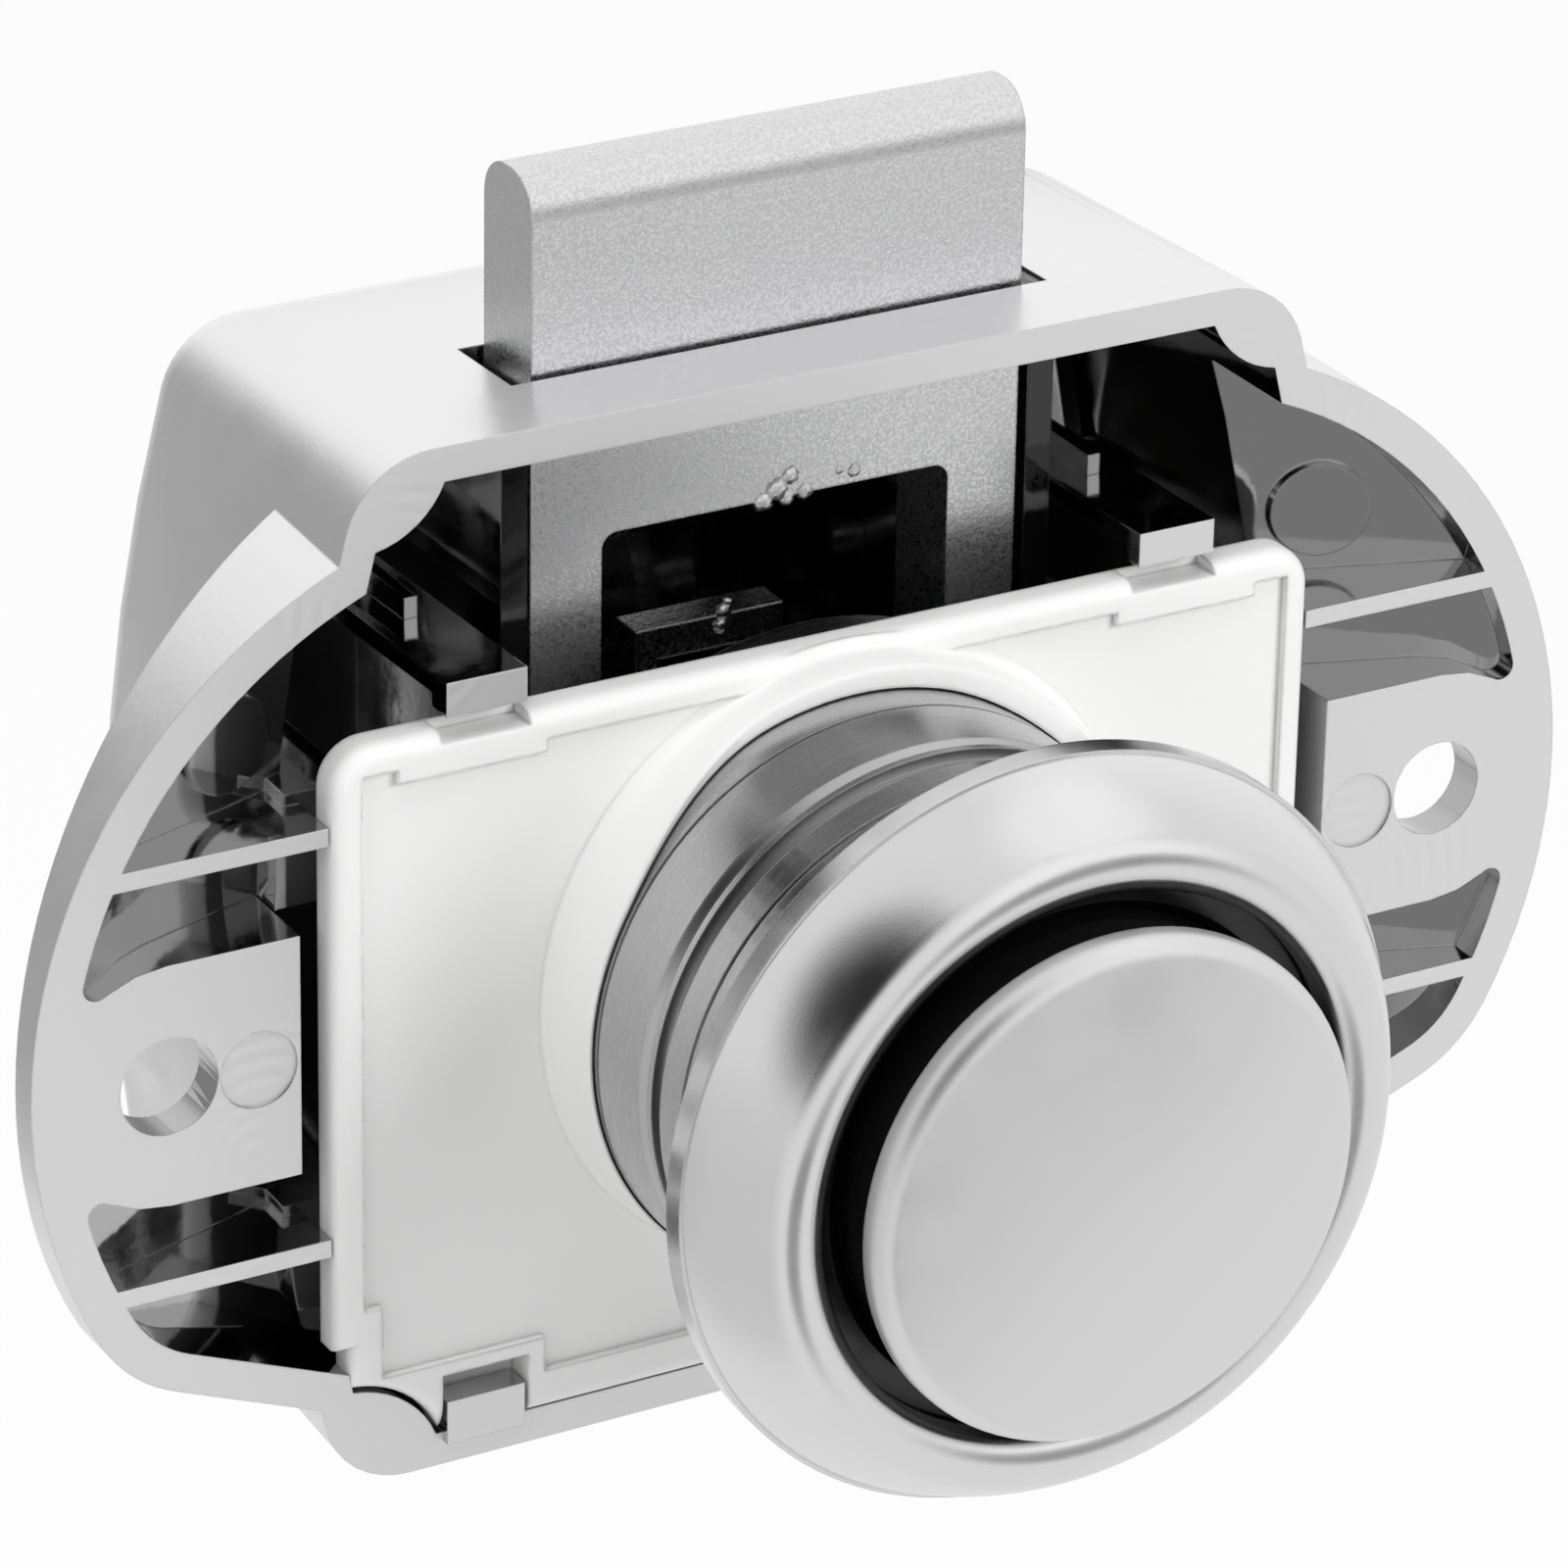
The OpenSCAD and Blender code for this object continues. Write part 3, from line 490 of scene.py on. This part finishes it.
collar = lofted("collar", [
    collar_ring(0.55, 0.0), collar_ring(0.5, 0.06), collar_ring(0.26, 0.12), collar_ring(0.1, 0.22),
    collar_ring(0.0, 0.4), collar_ring(-0.05, 0.9), collar_ring(-0.12, 0.97), collar_ring(-0.25, 1.0),
    bore_ring(1.0), bore_ring(0.0)], closed=False)
joined = bmesh.new()
joined.from_mesh(plate.data)
joined.from_mesh(collar.data)
for edge in joined.edges:
    edge.smooth = len(edge.link_faces) == 2 and edge.calc_face_angle(0) < math.radians(35)
for face in joined.faces:
    face.smooth = True
joined.to_mesh(plate.data)
joined.free()
bpy.data.objects.remove(collar)
finish_with(plate, MATERIALS["cover_plate"])
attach(plate, "frame")
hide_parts("cover_plate")


# The sleeve's thread, swept along a helix by Geometry Nodes

RIDGE_TURN = math.radians(-90)


def thread_tree():
    """Helix about Z swept with a flat-topped ridge, laid along the button's axis."""
    tree = bpy.data.node_groups.new("sleeve_thread_tree", "GeometryNodeTree")
    sizes = {}
    for label, kind in (("Root radius", "NodeSocketFloat"), ("Height", "NodeSocketFloat"),
                        ("Base width", "NodeSocketFloat"), ("Land width", "NodeSocketFloat"),
                        ("Length", "NodeSocketFloat"), ("Turns", "NodeSocketFloat"),
                        ("Start", "NodeSocketFloat"), ("Finish", "NodeSocketMaterial")):
        sizes[label] = tree.interface.new_socket(label, in_out="INPUT", socket_type=kind).identifier
    tree.interface.new_socket("Geometry", in_out="OUTPUT", socket_type="NodeSocketGeometry")
    given = tree.nodes.new("NodeGroupInput")
    link = tree.links.new

    helix = tree.nodes.new("GeometryNodeCurveSpiral")
    helix.inputs["Resolution"].default_value = 96
    link(given.outputs["Turns"], helix.inputs["Rotations"])
    link(given.outputs["Root radius"], helix.inputs["Start Radius"])
    link(given.outputs["Root radius"], helix.inputs["End Radius"])
    link(given.outputs["Length"], helix.inputs["Height"])
    upright = tree.nodes.new("GeometryNodeSetCurveNormal")
    upright.mode = "Z_UP"
    link(helix.outputs["Curve"], upright.inputs["Curve"])

    ridge = tree.nodes.new("GeometryNodeCurvePrimitiveQuadrilateral")
    ridge.mode = "TRAPEZOID"
    link(given.outputs["Base width"], ridge.inputs["Bottom Width"])
    link(given.outputs["Land width"], ridge.inputs["Top Width"])
    link(given.outputs["Height"], ridge.inputs["Height"])
    ridge.inputs["Offset"].default_value = 0
    turn = tree.nodes.new("GeometryNodeTransform")
    turn.inputs["Rotation"].default_value = (0, 0, RIDGE_TURN)
    link(ridge.outputs["Curve"], turn.inputs["Geometry"])

    sweep = tree.nodes.new("GeometryNodeCurveToMesh")
    sweep.inputs["Fill Caps"].default_value = True
    link(upright.outputs["Curve"], sweep.inputs["Curve"])
    link(turn.outputs["Geometry"], sweep.inputs["Profile Curve"])
    lay = tree.nodes.new("GeometryNodeTransform")
    lay.inputs["Rotation"].default_value = (math.radians(90), 0, 0)
    start = tree.nodes.new("ShaderNodeCombineXYZ")
    link(given.outputs["Start"], start.inputs["Y"])
    link(start.outputs["Vector"], lay.inputs["Translation"])
    link(sweep.outputs["Mesh"], lay.inputs["Geometry"])
    real = tree.nodes.new("GeometryNodeRealizeInstances")
    paint = tree.nodes.new("GeometryNodeSetMaterial")
    out = tree.nodes.new("NodeGroupOutput")
    link(lay.outputs["Geometry"], real.inputs["Geometry"])
    link(real.outputs["Geometry"], paint.inputs["Geometry"])
    link(given.outputs["Finish"], paint.inputs["Material"])
    link(paint.outputs["Geometry"], out.inputs["Geometry"])
    return tree, sizes


def grown(name, tree, sizes, values):
    """The mesh that a Geometry Nodes tree gives for these sizes, as a plain object."""
    seed = bpy.data.objects.new(name + "_seed", bpy.data.meshes.new(name + "_seed"))
    bpy.context.collection.objects.link(seed)
    modifier = seed.modifiers.new("grow", "NODES")
    modifier.node_group = tree
    for label, value in values.items():
        modifier[sizes[label]] = value
    bpy.context.view_layer.update()
    evaluated = seed.evaluated_get(bpy.context.evaluated_depsgraph_get())
    mesh = bpy.data.meshes.new_from_object(evaluated)
    mesh.name = name
    bpy.data.objects.remove(seed)
    piece = bpy.data.objects.new(name, mesh)
    bpy.context.collection.objects.link(piece)
    return piece


helix_tree, helix_sizes = thread_tree()
thread = grown("sleeve_thread", helix_tree, helix_sizes, {
    "Root radius": 12.5 * MM, "Height": 0.56 * MM, "Base width": 1.6 * MM, "Land width": 1.05 * MM,
    "Length": 6.4 * MM, "Turns": 3.55, "Start": -8.9 * MM, "Finish": TURNED_SLEEVE})
for face in thread.data.polygons:
    face.use_smooth = False
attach(thread, "frame")


# Lumps that the casting left where it was broken from its gate

def lumps(name, body, slot, spots, seed):
    """Small rough beads half sunk in a cast face; spots are (x, y, z, radius) in millimetres."""
    made = bmesh.new()
    for x, y, z, radius in spots:
        ball = bmesh.ops.create_icosphere(made, subdivisions=3, radius=radius * MM)
        for vert in ball["verts"]:
            out = vert.co.normalized()
            swell = 1 + 0.3 * mathutils_noise.noise(out * 2.2 + Vector((seed, x, z)))
            vert.co = vert.co * swell
            vert.co.y *= 0.55
            vert.co += Vector((x, y, z)) * MM
    mesh = bpy.data.meshes.new(name)
    made.to_mesh(mesh)
    made.free()
    for face in mesh.polygons:
        face.use_smooth = True
    mesh.materials.append(MATERIALS[slot])
    piece = bpy.data.objects.new(name, mesh)
    bpy.context.collection.objects.link(piece)
    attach(piece, body)


lumps("bolt_gate_mark", "bolt", "bolt", [
    (-0.6, 5.0, 18.75, 0.45), (0.0, 4.95, 19.2, 0.5), (0.6, 4.95, 19.7, 0.4), (1.3, 5.0, 18.9, 0.42),
    (0.5, 5.05, 18.7, 0.38), (2.9, 4.95, 19.5, 0.22), (3.6, 4.95, 19.35, 0.32)], 3)
lumps("driver_gate_mark", "button", "driver", [
    (0.7, 10.5, 11.3, 0.4), (0.5, 10.4, 10.8, 0.35), (0.9, 10.5, 11.7, 0.28)], 5)


# Studio

def softbox(name, at, size, watts):
    """A soft lamp that looks at the latch; place and size in metres."""
    lamp = bpy.data.lights.new(name, "AREA")
    lamp.shape = "RECTANGLE"
    lamp.size, lamp.size_y = size
    lamp.energy = watts
    thing = bpy.data.objects.new(name, lamp)
    bpy.context.collection.objects.link(thing)
    thing.location = at
    toward = Vector((0, -0.005, 0.005)) - thing.location
    thing.rotation_euler = toward.to_track_quat("-Z", "Y").to_euler()
    return thing


def pale_floor():
    """White floor that the camera and bright metal see as white, and that keeps a soft shadow."""
    material, tree, shader = new_material("pale_floor")
    shader.inputs["Base Color"].default_value = (0.9, 0.9, 0.9, 1.0)
    shader.inputs["Roughness"].default_value = 0.8
    glow = tree.nodes.new("ShaderNodeEmission")
    glow.inputs["Color"].default_value = (1.0, 1.0, 1.0, 1.0)
    glow.inputs["Strength"].default_value = 1.0
    rays = tree.nodes.new("ShaderNodeLightPath")
    seen = math_node(tree, "MAXIMUM", rays.outputs["Is Camera Ray"], rays.outputs["Is Glossy Ray"])
    choose = tree.nodes.new("ShaderNodeMixShader")
    tree.links.new(math_node(tree, "MULTIPLY", seen, 0.93), choose.inputs["Fac"])
    tree.links.new(shader.outputs["BSDF"], choose.inputs[1])
    tree.links.new(glow.outputs["Emission"], choose.inputs[2])
    output = next(n for n in tree.nodes if n.type == "OUTPUT_MATERIAL")
    tree.links.new(choose.outputs["Shader"], output.inputs["Surface"])
    return material


FLOOR_Z = -0.15
floor_mesh = bpy.data.meshes.new("floor")
floor_mesh.from_pydata([(x, y, FLOOR_Z) for x, y in ((-5, -5), (5, -5), (5, 5), (-5, 5))],
                       [], [(0, 1, 2, 3)])
floor_mesh.materials.append(pale_floor())
floor = bpy.data.objects.new("floor", floor_mesh)
bpy.context.collection.objects.link(floor)
floor.visible_glossy = False

for lamp in (softbox("top_light", (-0.1, -0.1, 0.6), (0.5, 0.5), 2.0),
             softbox("left_light", (-0.6, -0.15, 0.25), (0.4, 0.5), 1.0),
             softbox("right_light", (0.34, -0.6, 0.36), (0.35, 0.35), 3.4)):
    lamp.visible_glossy = False

# The tent round the object, as bright metal sees it: pale, with brighter windows and darker openings.
# Each zone has its heading, the degrees from it where it is full and where it ends, and its level.
TENT_LEVEL = 0.82
TENT_ZONES = (((0.45, -0.76, 0.46), 10, 34, 1.25), ((0.448, 0.784, 0.43), 22, 55, 1.2),
              ((-0.64, -0.5, 0.57), 12, 36, 0.02), ((0.45, -0.88, -0.03), 6, 20, 0.4),
              ((-0.6, 0.78, -0.1), 16, 42, 0.45), ((-0.9, 0.0, -0.43), 10, 45, 0.8),
              ((-0.1, -0.9, -0.43), 7, 22, 0.4), ((0.44, -0.12, 0.88), 8, 26, 1.25))
world = bpy.data.worlds.new("light_tent")
bpy.context.scene.world = world
world.use_nodes = True
sky = world.node_tree
sky.nodes.clear()
way = sky.nodes.new("ShaderNodeTexCoord").outputs["Generated"]
glare = None
for heading, inner, outer, level in TENT_ZONES:
    toward = sky.nodes.new("ShaderNodeVectorMath")
    toward.operation = "DOT_PRODUCT"
    toward.inputs[1].default_value = Vector(heading).normalized()
    sky.links.new(way, toward.inputs[0])
    shade = ramp(sky, toward.outputs["Value"], 1.0, level,
                 math.cos(math.radians(outer)), math.cos(math.radians(inner)))
    glare = shade if glare is None else math_node(sky, "MULTIPLY", glare, shade)
rays = sky.nodes.new("ShaderNodeLightPath")
glossy = math_node(sky, "MULTIPLY", glare, TENT_LEVEL)
strength = sky.nodes.new("ShaderNodeMix")
strength.inputs["A"].default_value = 0.4
sky.links.new(rays.outputs["Is Glossy Ray"], strength.inputs["Factor"])
sky.links.new(glossy, strength.inputs["B"])
seen = math_node(sky, "MAXIMUM", strength.outputs["Result"], rays.outputs["Is Camera Ray"])
background = sky.nodes.new("ShaderNodeBackground")
background.inputs["Color"].default_value = (1.0, 1.0, 1.0, 1.0)
sky.links.new(seen, background.inputs["Strength"])
world_out = sky.nodes.new("ShaderNodeOutputWorld")
sky.links.new(background.outputs["Background"], world_out.inputs["Surface"])

camera_data = bpy.data.cameras.new("camera")
camera_data.sensor_width = 36
camera_data.lens = 36 * LENS_PX / PICTURE_PX
camera_data.clip_start = 0.01
camera = bpy.data.objects.new("camera", camera_data)
bpy.context.collection.objects.link(camera)
back = -LOOK.normalized()
right = PICTURE_RIGHT.normalized()
up = back.cross(right).normalized()
camera.matrix_world = Matrix((
    (right.x, up.x, back.x, CAMERA_AT.x),
    (right.y, up.y, back.y, CAMERA_AT.y),
    (right.z, up.z, back.z, CAMERA_AT.z),
    (0, 0, 0, 1)))
bpy.context.scene.camera = camera
bpy.context.scene.view_settings.view_transform = "Standard"
